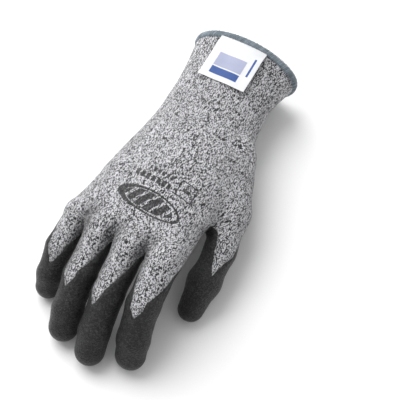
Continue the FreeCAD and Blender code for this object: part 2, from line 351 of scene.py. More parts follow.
def surface_nets(low, high, step):
    """Closed-quad surface of the field as triangles."""
    n = [int(math.ceil((h - l) / step)) + 1 for l, h in zip(low, high)]
    grid = [l + step * np.arange(k) for l, k in zip(low, n)]
    values = np.empty(n)
    for i in range(n[0]):
        y, z = np.meshgrid(grid[1], grid[2], indexing="ij")
        pts = np.stack([np.full(y.size, grid[0][i]), y.ravel(), z.ravel()], 1)
        values[i] = hand_field(pts).reshape(n[1], n[2])
    inside = values < 0
    corners = [(a, b, c) for a in (0, 1) for b in (0, 1) for c in (0, 1)]
    m = [k - 1 for k in n]

    def corner(array, c):
        return array[c[0]:c[0] + m[0], c[1]:c[1] + m[1], c[2]:c[2] + m[2]]

    count = sum(corner(inside, c).astype(np.int8) for c in corners)
    cells = np.argwhere((count > 0) & (count < 8))
    index = np.full(m, -1, np.int64)
    index[tuple(cells.T)] = np.arange(len(cells))
    total = np.zeros((len(cells), 3))
    hits = np.zeros(len(cells))
    for a in corners:
        for axis in range(3):
            if a[axis]:
                continue
            b = list(a)
            b[axis] = 1
            ia, ib = cells + a, cells + b
            va, vb = values[tuple(ia.T)], values[tuple(ib.T)]
            cross = (va < 0) != (vb < 0)
            t = np.where(cross, va / np.where(cross, va - vb, 1), 0)
            point = np.array(a, float)[None, :] + t[:, None] * (np.array(b) - np.array(a))
            total += np.where(cross[:, None], point, 0)
            hits += cross
    verts = np.array(low) + step * (cells + total / hits[:, None])
    tris = []
    for axis in range(3):
        u, v = (axis + 1) % 3, (axis + 2) % 3
        sl_a = [slice(None)] * 3
        sl_b = [slice(None)] * 3
        sl_a[axis], sl_b[axis] = slice(0, -1), slice(1, None)
        a, b = inside[tuple(sl_a)], inside[tuple(sl_b)]
        at = np.argwhere(a != b)
        at = at[(at[:, u] > 0) & (at[:, v] > 0) & (at[:, u] < m[u]) & (at[:, v] < m[v])]
        flip = ~a[tuple(at.T)]
        quad = []
        for du, dv in ((-1, -1), (0, -1), (0, 0), (-1, 0)):
            c = at.copy()
            c[:, u] += du
            c[:, v] += dv
            quad.append(index[tuple(c.T)])
        q = np.stack(quad, 1)
        q[flip] = q[flip][:, ::-1]
        tris += [q[:, (0, 1, 2)], q[:, (0, 2, 3)]]
    tris = np.concatenate(tris)
    return verts, tris[(tris >= 0).all(1)]


def make_skin():
    """The whole skin, meshed on a grid and moved onto the field's surface."""
    margin = 3.0
    low = np.array(CAD_BOX[0]) / MM - margin
    high = np.array(CAD_BOX[1]) / MM + margin
    high[1] = WRIST[1] + HEM_AT + 1.4
    verts, tris = surface_nets(low, high, GRID)
    for _ in range(3):
        d = hand_field(verts)
        verts = verts - gradient(verts) * d[:, None]
    return verts, tris


def compact(verts, tris, *extra):
    used = np.unique(tris)
    remap = np.full(len(verts), -1)
    remap[used] = np.arange(len(used))
    return (verts[used], remap[tris], *[e[used] for e in extra])


def clip(verts, tris, value):
    """Keeps the part of a triangle mesh where value is positive, cutting triangles along the zero line."""
    value = np.where(np.abs(value) < 1e-4, 1e-4, value)
    pos = value > 0
    k = pos[tris].sum(1)
    whole = tris[k == 3]
    edges = {}
    new = []
    base = len(verts)

    def cut(a, b):
        key = (a, b) if a < b else (b, a)
        if key not in edges:
            t = value[key[0]] / (value[key[0]] - value[key[1]])
            edges[key] = base + len(new)
            new.append(verts[key[0]] * (1 - t) + verts[key[1]] * t)
        return edges[key]

    made = []
    for tri in tris[(k == 1) | (k == 2)]:
        flags = pos[tri]
        one = int(np.argmax(flags)) if flags.sum() == 1 else int(np.argmin(flags))
        a, b, c = (int(tri[(one + j) % 3]) for j in range(3))
        ab, ac = cut(a, b), cut(a, c)
        if flags.sum() == 1:
            made.append((a, ab, ac))
        else:
            made += [(ab, b, c), (ab, c, ac)]
    verts = np.concatenate([verts, np.array(new).reshape(-1, verts.shape[1])])
    tris = np.concatenate([whole, np.array(made, int).reshape(-1, 3)])
    return compact(verts, tris)


def vertex_normals(verts, tris):
    a, b, c = (verts[tris[:, i]] for i in range(3))
    face = np.cross(b - a, c - a)
    normals = np.zeros_like(verts)
    for i in range(3):
        np.add.at(normals, tris[:, i], face)
    return normals / np.maximum(np.linalg.norm(normals, axis=1, keepdims=True), 1e-12)


def value_noise(p, size, seed):
    """Smooth noise from -1 to 1 with features of the given size."""
    q = p / size
    cell = np.floor(q).astype(np.int64)
    f = q - cell
    f = f * f * (3 - 2 * f)

    def lattice(c):
        h = c[:, 0] * 374761393 + c[:, 1] * 668265263 + c[:, 2] * 2147483647 + seed * 1274126177
        h = h & 0xFFFFFFFF
        h = ((h ^ (h >> 13)) * 1274126177) & 0xFFFFFFFF
        return ((h ^ (h >> 16)) & 0xFFFF) / 32767.5 - 1

    total = np.zeros(len(p))
    for i in (0, 1):
        for j in (0, 1):
            for k in (0, 1):
                x, y, z = (f[:, n] if up else 1 - f[:, n] for n, up in enumerate((i, j, k)))
                total += x * y * z * lattice(cell + (i, j, k))
    return total


# ---- regions, dip line, pattern coordinates
def nearest_finger(p):
    """Each finger's coordinates of the points, and the number of the finger nearest to each point."""
    info = [limb.coords(p) for limb in LIMBS]
    return info, np.argmin(np.stack([i[2] for i in info]), axis=0)


def regions(p):
    """Piece number of each point."""
    f, _, _ = body_coords(p)
    region = np.full(len(p), HAND)
    region[f < WRIST_HALF] = WRIST_PIECE
    region[f < -WRIST_HALF] = CUFF_PIECE
    info, nearest = nearest_finger(p)
    for n, limb in enumerate(LIMBS):
        dist = info[n][2]
        q = p - limb.points[1]
        own = (nearest == n) & (q @ limb.dirs[1] > FINGER_START)
        own &= dist < limb.radii[1] + FINGER_REACH
        first = FIRST_FINGER + 3 * n
        region[own] = first
        cut_a = (limb.centres[0] + limb.centres[1]) / 2
        cut_b = (limb.centres[1] + limb.centres[2]) / 2
        region[own & ((p - cut_a) @ limb.dirs[1] > 0)] = first + 1
        region[own & ((p - cut_b) @ limb.dirs[2] > 0)] = first + 2
    along, _, dist, _ = THUMB.coords(p)
    reach = unit(THUMB.dirs[1] + THUMB.dirs[2])
    own = ((p - THUMB.centres[0]) @ reach > THUMB_START) & (dist < THUMB_REACH) & (along > 5)
    own &= region < FIRST_FINGER
    region[own] = THUMB_ROOT
    cut = (THUMB.centres[0] + THUMB.centres[1]) / 2
    region[own & ((p - cut) @ THUMB.dirs[2] > 0)] = THUMB_END
    return region


def bare(p):
    """Distance to the edge of the coating, positive on the bare knit."""
    f, lat, up = body_coords(p)
    forefinger_side = 2.5 * smoothstep(10, 35, lat)
    thumb_mound = 13.0 * smoothstep(22, 42, lat) * smoothstep(80, 62, f)
    level = up - DIP_HEIGHT + forefinger_side + thumb_mound
    g = np.maximum(level, COATING_HEEL - f)
    info, nearest = nearest_finger(p)
    for n, limb in enumerate(LIMBS):
        _, angle, dist, reach = info[n]
        s = np.clip(reach / limb.tongue, 0, 3)
        half = BARE_HALF * np.where(s < 1, (1 - s ** 1.3), -(s - 1) * 0.9)
        gf = (half - np.abs(angle - limb.turn)) * limb.radii[2]
        w = smoothstep(-5, 5, (p - limb.points[1]) @ limb.dirs[1])
        own = (nearest == n) & (dist < limb.radii[1] + 4)
        g = np.where(own, g * (1 - w) + gf * w, g)
    along, angle, dist, reach = THUMB.coords(p)
    s = np.clip((reach - THUMB_KNIT[0]) / (THUMB_KNIT[1] - THUMB_KNIT[0]), 0, 1.5)
    left = THUMB_POINT_TURN - THUMB_LEFT * (1 - s ** 1.9)
    right = THUMB_POINT_TURN + THUMB_RIGHT * np.sign(1 - s) * np.abs(1 - s) ** 1.3
    gf = np.minimum(angle - left, right - angle) * 10.0
    w = smoothstep(7, 21, along) * smoothstep(20, 14, dist)
    w = np.where(np.minimum.reduce([i[2] for i in info]) < dist - 1.0, 0, w)
    g = g * (1 - w) + gf * w
    return g + 0.22 * value_noise(p, 6.0, 3) + 0.12 * value_noise(p, 2.6, 4)


def arc_table(ratio=2.0, n=721):
    """Angles round an ellipse, and the share of its length at each."""
    t = np.linspace(0, 2 * np.pi, n)
    step = np.hypot(ratio * np.sin(t), np.cos(t))
    s = np.concatenate([[0], np.cumsum((step[1:] + step[:-1]) / 2)])
    return t, s / s[-1]


ARC = arc_table()


def crown_pattern(p):
    """Knit coordinates of the back of the hand, in stitches seen from above, spread down the sides."""
    f, lat, up = body_coords(p)
    middle, top = np.interp(f, fine, TABLE[0]), np.interp(f, fine, TABLE[2])
    x, drop = lat - middle, np.maximum(0, 0.75 * top - up)
    around = (x + np.tanh(x / 12) * drop) / WALE
    return np.stack([around + 500, (f + 0.7 * drop * smoothstep(90, 103, f)) / COURSE], 1), 0


def pattern(p, piece):
    """Knit coordinates in stitches, across and along the wales, and the number of wales round."""
    if piece < FIRST_FINGER:
        f, lat, up = body_coords(p)
        middle, a, top = (np.interp(f, fine, t) for t in TABLE[:3])
        x = (lat - middle) / a
        side = smoothstep(0.72, 0.97, np.abs(x))
        turn = np.abs(np.arctan2(up / top, x)) * side + np.arccos(np.clip(x, -1, 1)) * (1 - side)
        theta = np.where(up < 0, 2 * np.pi - turn, turn)
        around = np.mod(np.interp(theta, *ARC) + 0.25, 1.0) * HAND_WALES
        return np.stack([around, f / COURSE], 1), HAND_WALES
    limb = (LIMBS + [THUMB])[min((piece - FIRST_FINGER) // 3, 4)]
    along, angle, _, _ = limb.coords(p)
    around = (angle / (2 * np.pi) + 0.5) * FINGER_WALES + 1000
    return np.stack([around, (along + 100) / (0.85 * COURSE)], 1), FINGER_WALES


# ---- meshes
def add_object(name, data):
    obj = bpy.data.objects.new(name, data)
    bpy.context.scene.collection.objects.link(obj)
    return obj


def make_mesh(name, verts, tris, normals=None, uv=None, period=0, print_uv=None, floats=None):
    mesh = bpy.data.meshes.new(name)
    mesh.vertices.add(len(verts))
    mesh.vertices.foreach_set("co", (verts * MM).astype(np.float32).ravel())
    mesh.loops.add(len(tris) * 3)
    mesh.loops.foreach_set("vertex_index", tris.astype(np.int32).ravel())
    mesh.polygons.add(len(tris))
    mesh.polygons.foreach_set("loop_start", np.arange(0, len(tris) * 3, 3, dtype=np.int32))
    mesh.update(calc_edges=True)
    mesh.polygons.foreach_set("use_smooth", np.ones(len(tris), bool))
    if uv is not None:
        corner = uv[tris].copy()
        low = corner[:, :, 0] < corner[:, :, 0].max(1)[:, None] - period / 2
        corner[:, :, 0] += np.where(low, period, 0)
        layer = mesh.uv_layers.new(name="UVMap")
        layer.data.foreach_set("uv", corner.astype(np.float32).ravel())
    if print_uv is not None:
        layer = mesh.uv_layers.new(name="Print")
        layer.data.foreach_set("uv", print_uv[tris].astype(np.float32).ravel())
    for key, value in (floats or {}).items():
        attribute = mesh.attributes.new(key, "FLOAT", "POINT")
        attribute.data.foreach_set("value", value.astype(np.float32))
    mesh.validate()
    if normals is not None:
        mesh.normals_split_custom_set_from_vertices(normals.astype(np.float32).tolist())
    return add_object(name, mesh)


# ---- material helpers
SOCKETS = dict(
    rough="Roughness", specular="Specular IOR Level", sheen="Sheen Weight", sheen_rough="Sheen Roughness",
)


class Nodes:
    """A material with a Principled shader, and short calls for its nodes."""

    def __init__(self, name):
        self.material = bpy.data.materials.new(name)
        self.material.use_nodes = True
        self.tree = self.material.node_tree
        self.shader = self.tree.nodes["Principled BSDF"]

    def finish(self, **values):
        """Sets the shader's own sockets, and gives the material."""
        for key, value in values.items():
            self.shader.inputs[SOCKETS[key]].default_value = value
        return self.material

    def add(self, kind, **values):
        node = self.tree.nodes.new(kind)
        for key, value in values.items():
            setattr(node, key, value)
        return node

    def place(self):
        return self.add("ShaderNodeTexCoord").outputs["Object"]

    def uv(self, name):
        return self.add("ShaderNodeUVMap", uv_map=name).outputs[0]

    def attribute(self, name):
        return self.add("ShaderNodeAttribute", attribute_name=name).outputs["Fac"]

    def link(self, a, b):
        self.tree.links.new(a, b)

    def set(self, socket, value):
        if isinstance(value, (int, float, tuple, list)):
            socket.default_value = value
        else:
            self.link(value, socket)

    def math(self, operation, a, b=0.0, c=None):
        node = self.add("ShaderNodeMath", operation=operation)
        self.set(node.inputs[0], a)
        self.set(node.inputs[1], b)
        if c is not None:
            self.set(node.inputs[2], c)
        return node.outputs[0]

    def times(self, a, b):
        return self.math("MULTIPLY", a, b)

    def plus(self, a, b):
        return self.math("ADD", a, b)

    def minus(self, a, b):
        return self.math("SUBTRACT", a, b)

    def split(self, vector):
        node = self.add("ShaderNodeSeparateXYZ")
        self.link(vector, node.inputs[0])
        return node.outputs[0], node.outputs[1]

    def join(self, x, y):
        node = self.add("ShaderNodeCombineXYZ")
        self.link(x, node.inputs[0])
        self.link(y, node.inputs[1])
        return node.outputs[0]

    def hill(self, fraction, power):
        """1 in the middle of a cell, falling to 0 at both sides."""
        away = self.math("ABSOLUTE", self.minus(self.times(fraction, 2.0), 1.0))
        return self.minus(1.0, self.math("POWER", away, power))

    def mix(self, factor, a, b):
        node = self.add("ShaderNodeMix", data_type="RGBA")
        self.set(node.inputs["Factor"], factor)
        self.set(node.inputs[6], a)
        self.set(node.inputs[7], b)
        return node.outputs[2]

    def ramp(self, value, stops, interpolation="LINEAR"):
        node = self.add("ShaderNodeValToRGB")
        node.color_ramp.interpolation = interpolation
        elements = node.color_ramp.elements
        while len(elements) < len(stops):
            elements.new(0.5)
        for element, (at, colour) in zip(elements, stops):
            element.position = at
            element.color = (*colour, 1) if isinstance(colour, tuple) else (colour, colour, colour, 1)
        self.set(node.inputs[0], value)
        return node.outputs[0]

    def noise(self, vector, scale, detail=2.0, rough=0.5):
        node = self.add("ShaderNodeTexNoise")
        if vector is not None:
            self.link(vector, node.inputs["Vector"])
        node.inputs["Scale"].default_value = scale
        node.inputs["Detail"].default_value = detail
        node.inputs["Roughness"].default_value = rough
        return node.outputs["Fac"]

    def bump(self, height, distance, strength=1.0, normal=None):
        node = self.add("ShaderNodeBump")
        self.set(node.inputs["Height"], height)
        node.inputs["Distance"].default_value = distance
        node.inputs["Strength"].default_value = strength
        if normal is not None:
            self.link(normal, node.inputs["Normal"])
        return node.outputs["Normal"]


# Colours: black and white shades of the yarn, soaked coating at the coating's edge together with painted
# shade between the finger roots, ink, coating, thread, label and its prints
MARL = [
    (0.20, (0.008, 0.008, 0.009)), (0.40, (0.026, 0.026, 0.030)),
    (0.47, (0.34, 0.34, 0.358)), (0.60, (0.62, 0.62, 0.65)), (0.90, (0.84, 0.84, 0.87)),
]
# Dark knit where the coating soaked in at its edge, also used as painted shade between the finger roots
SOAK_AND_SHADE_COLOUR = (0.039, 0.039, 0.042, 1)
INK = (0.016, 0.016, 0.017, 1)
COATING = [(0.25, (0.0010, 0.0010, 0.0012)), (0.50, (0.0030, 0.0030, 0.0034)), (0.82, (0.036, 0.036, 0.038))]
THREAD = [(0.20, (0.029, 0.045, 0.058)), (0.42, (0.150, 0.195, 0.231)), (0.72, (0.34, 0.40, 0.45))]
SATIN = ((0.70, 0.71, 0.72), (0.585, 0.60, 0.63))
LAVENDER = ((0.35, 0.37, 0.50), (0.30, 0.32, 0.455))
BLUE = ((0.029, 0.085, 0.29), (0.018, 0.059, 0.215))
# How far a stitch's two legs rise from its sides to its middle, in courses
LEG_SLANT = 1.5


def stitch_rows(m):
    """Wales across, distance from the middle of a wale, and courses along the slanting legs."""
    u, v = m.split(m.uv("UVMap"))
    half = m.math("ABSOLUTE", m.minus(m.math("FRACT", u), 0.5))
    return u, half, m.plus(v, m.times(half, LEG_SLANT))


def knit_material():
    """Marled plain knit: two slanting legs to each stitch, each leg its own shade of the twisted yarn."""
    m = Nodes("knit_marl")
    u, _, slanted = stitch_rows(m)
    obj = m.place()
    legs = m.times(u, 2.0)
    leg, row = m.math("FLOOR", legs), m.math("FLOOR", slanted)
    white = m.add("ShaderNodeTexWhiteNoise", noise_dimensions="2D")
    shift = m.add("ShaderNodeTexWhiteNoise", noise_dimensions="1D")
    m.link(leg, shift.inputs["W"])
    strand = m.math("FLOOR", m.times(m.plus(slanted, shift.outputs["Value"]), STRANDS))
    m.link(m.join(leg, strand), white.inputs["Vector"])
    drift = m.noise(m.join(m.times(leg, 0.37), m.times(row, 0.9)), 1.0, 1.0)
    fibre = m.noise(obj, 2300.0, 2.0, 0.6)
    parity = m.math("FRACT", m.times(m.plus(leg, strand), 0.5))
    turn = m.times(parity, 0.30)
    shade = m.plus(m.times(white.outputs["Value"], 0.78), m.times(drift, 0.07))
    shade = m.plus(m.plus(shade, turn), m.times(m.minus(fibre, 0.5), 0.4))
    marl = m.ramp(shade, MARL)
    round_x = m.hill(m.math("FRACT", legs), 2.0)
    round_y = m.hill(m.math("FRACT", slanted), 2.4)
    height = m.times(round_x, round_y)
    # Painted shade: the yarn's colour is darkened in the low gaps between the legs
    colour = m.add("ShaderNodeMix", data_type="RGBA", blend_type="MULTIPLY")
    colour.inputs["Factor"].default_value = 1.0
    m.link(marl, colour.inputs[6])
    m.link(m.ramp(height, [(0.0, 0.45), (0.30, 1.0)]), colour.inputs[7])
    # Darkened knit: soaked coating at the coating's edge, and painted shade between the finger roots and at
    # the thumb's crotch
    bleed = m.attribute("bleed")
    soak_and_shade_amount = m.times(bleed, m.ramp(m.noise(obj, 900.0, 2.0), [(0.35, 0.45), (0.6, 1.0)]))
    final = m.mix(soak_and_shade_amount, colour.outputs[2], SOAK_AND_SHADE_COLOUR)
    back = m.attribute("ink")
    ink = m.times(back, ink_marks(m))
    final = m.mix(m.times(ink, m.ramp(shade, [(0.5, 0.97), (1.0, 0.80)])), final, INK)
    m.link(final, m.shader.inputs["Base Color"])
    fuzz = m.plus(height, m.times(fibre, 0.5))
    m.link(m.bump(fuzz, 0.0004, 0.8), m.shader.inputs["Normal"])
    return m.finish(rough=0.85, specular=0.32, sheen=0.20, sheen_rough=0.5)


def ink_marks(m):
    """Plain printed marks on the back of the hand: a barred oval, two rows of blocks and an open square."""
    x, y = m.split(m.uv("Print"))
    px = m.minus(x, PRINT_AT[0])
    py = m.minus(m.minus(y, PRINT_AT[1]), m.times(px, 0.10))

    def within(value, middle, half):
        return m.math("COMPARE", value, middle, half)

    def blocks(forward, tall, left, right, pitch):
        row = m.times(within(py, forward, tall), within(px, (left + right) / 2, (right - left) / 2))
        return m.times(row, within(m.math("FRACT", m.math("DIVIDE", px, pitch)), 0.5, 0.34))

    ex, ey = m.math("DIVIDE", px, 23.0), m.math("DIVIDE", py, 8.5)
    reach = m.math("SQRT", m.plus(m.times(ex, ex), m.times(ey, ey)))
    ring = m.math("GREATER_THAN", m.minus(reach, m.times(ex, 0.08)), 0.84)
    ring = m.times(ring, m.math("LESS_THAN", reach, 1.0))
    lean = m.math("DIVIDE", m.plus(px, m.times(py, 0.55)), 7.0)
    bars = m.times(within(m.math("FRACT", lean), 0.5, 0.34), m.math("LESS_THAN", reach, 0.76))
    beside = m.math("ABSOLUTE", m.minus(px, 17.0))
    below = m.math("ABSOLUTE", m.plus(py, 20.0))
    square = m.math("MAXIMUM", beside, below)
    marks = m.math("MAXIMUM", ring, bars)
    for shape in (
        blocks(-16.0, 2.2, -20.0, 7.0, 3.9), blocks(-22.5, 1.6, -10.0, 6.0, 3.2),
        within(square, 5.6, 0.45), m.times(within(px, 17.0, 2.6), within(py, -20.0, 1.3)),
    ):
        marks = m.math("MAXIMUM", marks, shape)
    return marks


def coating_material():
    """Foamed dip coating: fine pores over the faint print of the knit, with a soft uneven sheen."""
    m = Nodes("dip_coating")
    obj = m.place()
    pores = m.add("ShaderNodeTexVoronoi", feature="F1")
    m.link(obj, pores.inputs["Vector"])
    pores.inputs["Scale"].default_value = 1350.0
    grain = m.noise(obj, 720.0, 3.0, 0.6)
    patch = m.noise(obj, 90.0, 3.0, 0.55)
    broad = m.noise(obj, 28.0, 2.0)
    _, half, slanted = stitch_rows(m)
    rows = m.math("FRACT", slanted)
    leg = m.math("SINE", m.times(half, 2 * math.pi))
    knit = m.times(leg, m.math("SINE", m.times(rows, math.pi)))
    speck = m.split(pores.outputs["Color"])[0]
    tone = m.plus(m.times(patch, 0.30), m.times(speck, 0.70))
    m.link(m.ramp(tone, COATING), m.shader.inputs["Base Color"])
    gloss = m.plus(m.times(grain, 0.5), m.times(broad, 0.5))
    rough = m.ramp(gloss, [(0.35, 0.28), (0.65, 0.48)])
    m.link(rough, m.shader.inputs["Roughness"])
    stitches = m.bump(knit, 0.00020, 0.6)
    pitted = m.plus(m.times(pores.outputs["Distance"], 0.6), grain)
    m.link(m.bump(pitted, 0.00080, 1.0, stitches), m.shader.inputs["Normal"])
    return m.finish(specular=0.39, sheen=0.026, sheen_rough=0.4)


def thread_material():
    """Twisted overlock thread, each turn a little lighter or darker."""
    m = Nodes("overlock_thread")
    obj = m.place()
    twist = m.add("ShaderNodeTexWave", wave_type="BANDS", bands_direction="DIAGONAL")
    m.link(obj, twist.inputs["Vector"])
    twist.inputs["Scale"].default_value = 620.0
    twist.inputs["Distortion"].default_value = 2.0
    vary = m.noise(obj, 260.0, 3.0)
    tint = m.attribute("tint")
    mixed = m.plus(m.times(twist.outputs["Fac"], 0.30), m.times(vary, 0.44))
    mixed = m.plus(mixed, m.times(tint, 0.26))
    m.link(m.ramp(mixed, THREAD), m.shader.inputs["Base Color"])
    m.link(m.bump(mixed, 0.0003, 0.8), m.shader.inputs["Normal"])
    return m.finish(rough=0.6, sheen=0.4)


def woven_material(name, colour, dark):
    """Satin tape: fine floats across, coloured or printed."""
    m = Nodes(name)
    obj = m.place()
    weave = m.add("ShaderNodeTexWave", wave_type="BANDS", bands_direction="Y")
    m.link(obj, weave.inputs["Vector"])
    weave.inputs["Scale"].default_value = 900.0
    weave.inputs["Distortion"].default_value = 1.2
    soft = m.noise(obj, 140.0, 2.0)
    tone = m.plus(m.times(weave.outputs["Fac"], 0.35), m.times(soft, 0.65))
    m.link(m.ramp(tone, [(0.2, dark), (0.7, colour)]), m.shader.inputs["Base Color"])
    m.link(m.bump(tone, 0.00006, 0.6), m.shader.inputs["Normal"])
    return m.finish(rough=0.38, specular=0.26, sheen=0.04)


# ---- skin pieces
def piece_names():
    names = {HAND: "hand", WRIST_PIECE: "wrist", CUFF_PIECE: "cuff"}
    names |= {THUMB_ROOT: "thumb_root", THUMB_END: "thumb_end"}
    for n, limb in enumerate(LIMBS):
        for i, part in enumerate(("root", "middle", "end")):
            names[FIRST_FINGER + 3 * n + i] = f"{limb.name}_{part}"
    return names


def build_knit(verts, tris, knit, normals, line, material):
    """The liner; the hand, the wrist and the cuff have an inner face too."""
    f, lat, up = body_coords(verts)
    owner = np.median(regions(verts)[tris], axis=1).astype(int)
    # Soaked coating near the coating's edge, plus painted shade between the finger roots and at the thumb's
    # crotch
    bleed = np.clip(0.45 * smoothstep(1.6, 0.0, line) + crotch_shade(verts), 0, 1)
    ink = smoothstep(1.0, 4.0, up)
    flat = np.stack([lat, f], 1)
    pieces = {}
    for number, name in piece_names().items():
        v, t, n, soak_shade, ik, fl = compact(knit, tris[owner == number], normals, bleed, ink, flat)
        uv, period = crown_pattern(v) if number == HAND else pattern(v, number)
        if number < FIRST_FINGER:
            t = np.concatenate([t, t[:, ::-1] + len(v)])
            v, n = np.concatenate([v, v - n * KNIT]), np.concatenate([n, -n])
            uv, fl = np.concatenate([uv, uv]), np.concatenate([fl, fl])
            soak_shade, ik = np.concatenate([soak_shade, soak_shade * 0]), np.concatenate([ik, ik * 0])
        if number != HAND:
            ik = ik * 0
        obj = make_mesh(f"knit_{name}", v, t, n, uv, period, fl, {"bleed": soak_shade, "ink": ik})
        obj.data.materials.append(material)
        pieces[f"knit_{name}"] = obj
    return pieces


def build_coating(coat, tris, material):
    """The dip coating, proud of the liner, from rows of a place on it, one on the skin and a normal."""
    base, under, normals = coat[:, :3], coat[:, 3:6], coat[:, 6:]
    normals = unit_rows(normals)
    owner = np.median(regions(under)[tris], axis=1).astype(int)
    edge = -bare(under)
    thick = COATING_EDGE + COATING_RISE * smoothstep(0.0, 1.3, edge) + 0.05 * value_noise(under, 4.0, 5)
    thick += wrinkles(under) * smoothstep(0.5, 4.0, edge)
    verts = base + normals * np.maximum(thick, 0.05)[:, None]
    normals = vertex_normals(verts, tris)
    pieces = {}
    for number, name in piece_names().items():
        part = tris[owner == number]
        if number == CUFF_PIECE or len(part) < 12:
            continue
        v, t, n = compact(verts, part, normals)
        uv, period = pattern(v, number)
        obj = make_mesh(f"coating_{name}", v, t, n, uv, period)
        obj.data.materials.append(material)
        pieces[f"coating_{name}"] = obj
    return pieces


def build_glove(knit_mat, coat_mat):
    """Every piece of the liner and the coating, by name."""
    verts, tris = make_skin()
    f, _, _ = body_coords(verts)
    verts, tris = clip(verts, tris, f + HEM_AT)
    line = bare(verts)
    lumps = 0.16 * value_noise(verts, 9.0, 1) + 0.07 * value_noise(verts, 3.5, 2)
    knit = verts + vertex_normals(verts, tris) * lumps[:, None]
    normals = vertex_normals(knit, tris)
    pieces = build_knit(verts, tris, knit, normals, line, knit_mat)
    pieces.update(build_coating(*clip(np.concatenate([knit, verts, normals], 1), tris, -line), coat_mat))
    return pieces


def crotch_shade(p):
    """Painted shade: the knit darkened between the finger roots and round the crotch of the thumb."""
    total = np.zeros(len(p))
    for a, b in zip(LIMBS, LIMBS[1:]):
        q = p - (a.points[1] + b.points[1]) / 2
        side = np.abs(q @ PALM[1])
        ahead = q @ PALM[0]
        total += smoothstep(9, 1.5, side) * smoothstep(-15, 0, ahead) * 0.95
    q = p - palm_point(44, 77, -4)
    total += 0.8 * smoothstep(14, 3, np.linalg.norm(q, axis=1))
    return total


def wrinkles(p):
    """Shallow creases in the coating across the inside of each bend."""
    total = np.zeros(len(p))
    width, depth, waves = 5.0, 0.16, 2.1
    for limb in LIMBS + [THUMB]:
        _, angle, dist, _ = limb.coords(p)
        under = smoothstep(1.5, 2.6, np.abs(angle)) * (dist < limb.radii[1] + 3)
        for centre, d in zip(limb.centres, limb.dirs[1:]):
            t = (p - centre) @ d
            total += np.exp(-(t / width) ** 2) * under * depth * np.cos(t * waves)
    return total


# CAD nodes of the hand, wrist and cuff that each piece stands for
BODY_NODES = {
    "knit_hand": ["palm_knit_back", "palm_knit_front"],
    "coating_hand": ["palm_coating"],
    "knit_wrist": ["wrist_crease"],
    "coating_wrist": [],
    "knit_cuff": ["cuff_knit"],
}


def blend_limb(obj):
    """Bakes the placement of one piece of a finger or the thumb into its mesh."""
    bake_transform(obj)


def attach(pieces):
    """Sets the hand and cuff pieces riding on their bodies, bakes the others in place, and stands each piece
    for its CAD nodes.
    """
    for name, obj in pieces.items():
        kind, part = name.split("_", 1)
        if part in ("hand", "cuff"):
            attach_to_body(obj, part)
        elif part == "wrist":
            end = (WRIST - CUFF[0] * WRIST_SPAN) * MM
            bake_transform(obj)
        if name in BODY_NODES:
            nodes = BODY_NODES[name]
        else:
            limb_name, end = part.split("_")
            limb = next(x for x in LIMBS + [THUMB] if x.name == limb_name)
            segments = ("root", "end") if limb is THUMB else ("root", "middle", "end")
            i = segments.index(end)
            blend_limb(obj)
            nodes = [f"{limb_name}_{kind}_{i + 1}"]
            if kind == "knit":
                nodes.append(f"{limb_name}_crease_{i + 1}")
        if nodes:
            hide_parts(*nodes)


# ---- hem and label
def cuff_ring(distance, grow, n):
    """Points, outward directions and tangents round the cuff at a distance back from the wrist."""
    middle, a, top = (np.interp(-distance, fine, t) for t in TABLE[:3])
    t, s = ARC
    turn = np.interp((np.arange(n) + 0.5) / n, s, t)
    a, b = a + grow, top + grow
    centre = WRIST - CUFF[0] * distance + CUFF[1] * middle
    pts = centre + np.outer(np.cos(turn) * a, CUFF[1]) + np.outer(np.sin(turn) * b, CUFF[2])
    out = np.outer(np.cos(turn) / a, CUFF[1]) + np.outer(np.sin(turn) / b, CUFF[2])
    out = unit_rows(out)
    return pts, out, np.cross(out, CUFF[0])


def tube_tris(rows, sides, closed):
    """Triangles of a tube's points, given in rows along it."""
    tris = []
    for i in range(rows if closed else rows - 1):
        j = (i + 1) % rows
        for k in range(sides):
            m = (k + 1) % sides
            a, b, c, d = i * sides + k, i * sides + m, j * sides + m, j * sides + k
            tris += [(a, b, c), (a, c, d)]
    return np.array(tris)


def tube_mesh(paths, radius, closed=True):
    """Round tubes along closed or open paths, as one vertex and triangle list."""
    sides = 6
    turn = np.arange(sides) * 2 * np.pi / sides
    across = np.array([0.31, 0.52, 0.79])
    verts, tris = [], []
    base = 0
    for path in paths:
        ahead = np.roll(path, -1, 0) - np.roll(path, 1, 0)
        if not closed:
            ahead[0], ahead[-1] = path[1] - path[0], path[-1] - path[-2]
        ahead = unit_rows(ahead)
        x = unit_rows(np.cross(ahead, across))
        y = np.cross(ahead, x)
        ring = np.cos(turn)[None, :, None] * x[:, None, :] + np.sin(turn)[None, :, None] * y[:, None, :]
        verts.append((path[:, None, :] + radius * ring).reshape(-1, 3))
        tris.append(tube_tris(len(path), sides, closed) + base)
        base += len(path) * sides
    return np.concatenate(verts), np.concatenate(tris)


def hem_loop(point, out, along, size, angles):
    """Closed loop round the cuff's edge, no lower than its thread can lie on the floor."""
    forward = 0.35
    lean = 0.88
    path = np.array([
        point + out * (size[0] * math.cos(a)) - CUFF[0] * (size[1] * math.sin(a) + forward)
        + along * (lean * math.sin(a))
        for a in angles
    ])
    path[:, 2] = np.maximum(path[:, 2], HEM_THREAD)
    return path


